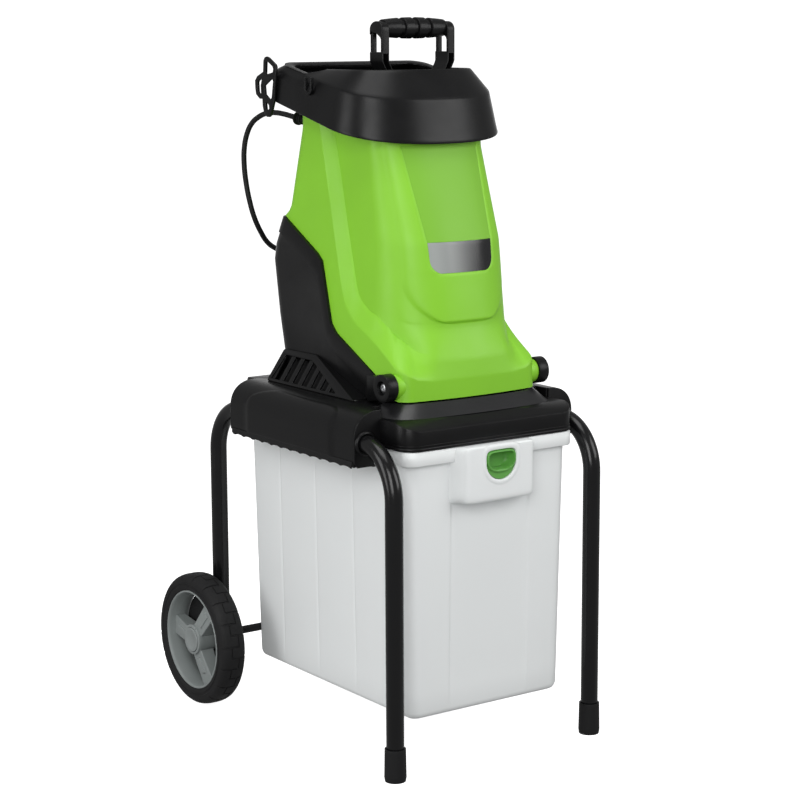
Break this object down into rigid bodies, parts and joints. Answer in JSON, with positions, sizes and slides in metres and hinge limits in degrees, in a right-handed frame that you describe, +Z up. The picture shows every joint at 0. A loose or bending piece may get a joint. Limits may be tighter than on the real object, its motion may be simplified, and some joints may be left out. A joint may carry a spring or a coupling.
{
  "type": "garden shredder",
  "caption": "Upright garden shredder with a tilting hopper and pusher over a motor housing and blade disc, a pull-out chip box and a wheeled tube frame.",
  "frame": {"origin": "on the floor under the middle of the bounding box", "axes": "+Z up, +Y to the rear where the wheels are, +X to the machine's right seen from its front"},
  "size_m": [0.456, 0.5764, 1.029],
  "materials": {
    "tube_black": "gloss",
    "rubber_black": "matte",
    "tyre_black": "matte",
    "wheel_grey": "satin",
    "shell_black": "satin",
    "shell_green": "satin",
    "lock_green": "satin",
    "box_white": "satin",
    "zinc_steel": "zinc plated",
    "tool_steel": "ground",
    "plate_alloy": "cast",
    "lamination": "matte",
    "winding": "varnished",
    "stop_red": "gloss",
    "cord_black": "matte"
  },
  "bodies": {
    "base": {"side_frame_left": "tube_black", "side_frame_right": "tube_black", "front_foot_left": "rubber_black", "front_foot_right": "rubber_black", "leg_plugs": "rubber_black", "axle": "tube_black", "axle_spacers": "zinc_steel", "axle_retainers": "zinc_steel", "deck": "shell_black", "frame_screws": "zinc_steel", "interlock_switch": "shell_black", "motor_housing": "shell_black", "vent_grille_left": "shell_black", "vent_grille_right": "shell_black", "housing_screws": "zinc_steel", "hinge_bolts": "zinc_steel", "bearing_plate": "plate_alloy", "motor_can": "shell_black", "motor_stator": "lamination", "shaft_bearings": "tool_steel", "brush_holders": "winding", "safety_switch": "shell_black"},
    "wheel_left": {"wheel_hub_left": "wheel_grey", "wheel_tyre_left": "tyre_black", "wheel_cap_left": "wheel_grey"},
    "wheel_right": {"wheel_hub_right": "wheel_grey", "wheel_tyre_right": "tyre_black", "wheel_cap_right": "wheel_grey"},
    "cutter": {"motor_shaft": "tool_steel", "armature": "winding", "commutator": "winding", "cooling_fan": "shell_black", "blade_disc": "tool_steel", "cutter_blades": "tool_steel", "blade_screws": "zinc_steel", "disc_bolt": "zinc_steel"},
    "box": {"collection_box": "box_white"},
    "box_lock": {"box_lock": "lock_green"},
    "upper": {"hopper_body": "shell_green", "hopper_hood": "shell_black", "hood_screws": "zinc_steel", "feed_chute": "shell_black", "switch_box": "shell_black", "cable_hook": "shell_black", "cable_gland": "rubber_black", "power_cord": "cord_black", "power_plug": "rubber_black"},
    "pusher": {"pusher_handle": "shell_black", "pusher_paddle": "shell_black"},
    "start_button": {"start_button": "lock_green"},
    "stop_button": {"stop_button": "stop_red"},
    "reset_button": {"reset_button": "shell_black"},
    "locking_knob": {"locking_knob": "shell_black"}
  },
  "joints": [
    {"name": "hopper_tilt", "type": "hinge", "parent": "base", "child": "upper", "pos_m": [0, -0.19665, 0.5303], "axis": [1, 0, 0], "range_deg": [0, 75]},
    {"name": "cutter_spin", "type": "hinge", "parent": "base", "child": "cutter", "pos_m": [0, -0.00025, 0.54], "axis": [0, 0, 1], "continuous": true},
    {"name": "wheel_left_spin", "type": "hinge", "parent": "base", "child": "wheel_left", "pos_m": [-0.208, 0.18825, 0.1], "axis": [1, 0, 0], "continuous": true},
    {"name": "wheel_right_spin", "type": "hinge", "parent": "base", "child": "wheel_right", "pos_m": [0.208, 0.18825, 0.1], "axis": [1, 0, 0], "continuous": true},
    {"name": "box_slide", "type": "slide", "parent": "base", "child": "box", "axis": [0, -1, 0], "range_m": [0, 0.42]},
    {"name": "box_lock_slide", "type": "slide", "parent": "box", "child": "box_lock", "axis": [0, 0, 1], "range_m": [0, 0.006]},
    {"name": "pusher_slide", "type": "slide", "parent": "upper", "child": "pusher", "axis": [0, 0, 1], "range_m": [0, 0.15]},
    {"name": "start_button_press", "type": "slide", "parent": "upper", "child": "start_button", "axis": [0, -0.976, -0.2179], "range_m": [0, 0.003], "stiffness_N_per_m": 400},
    {"name": "stop_button_press", "type": "slide", "parent": "upper", "child": "stop_button", "axis": [0, -0.976, -0.2179], "range_m": [0, 0.003], "stiffness_N_per_m": 400},
    {"name": "reset_button_press", "type": "slide", "parent": "upper", "child": "reset_button", "axis": [0, -0.976, -0.2179], "range_m": [0, 0.003], "stiffness_N_per_m": 400},
    {"name": "knob_turn", "type": "hinge", "parent": "upper", "child": "locking_knob", "pos_m": [0, 0.13575, 0.765], "axis": [0, -0.5446, 0.8387], "continuous": true}
  ]
}
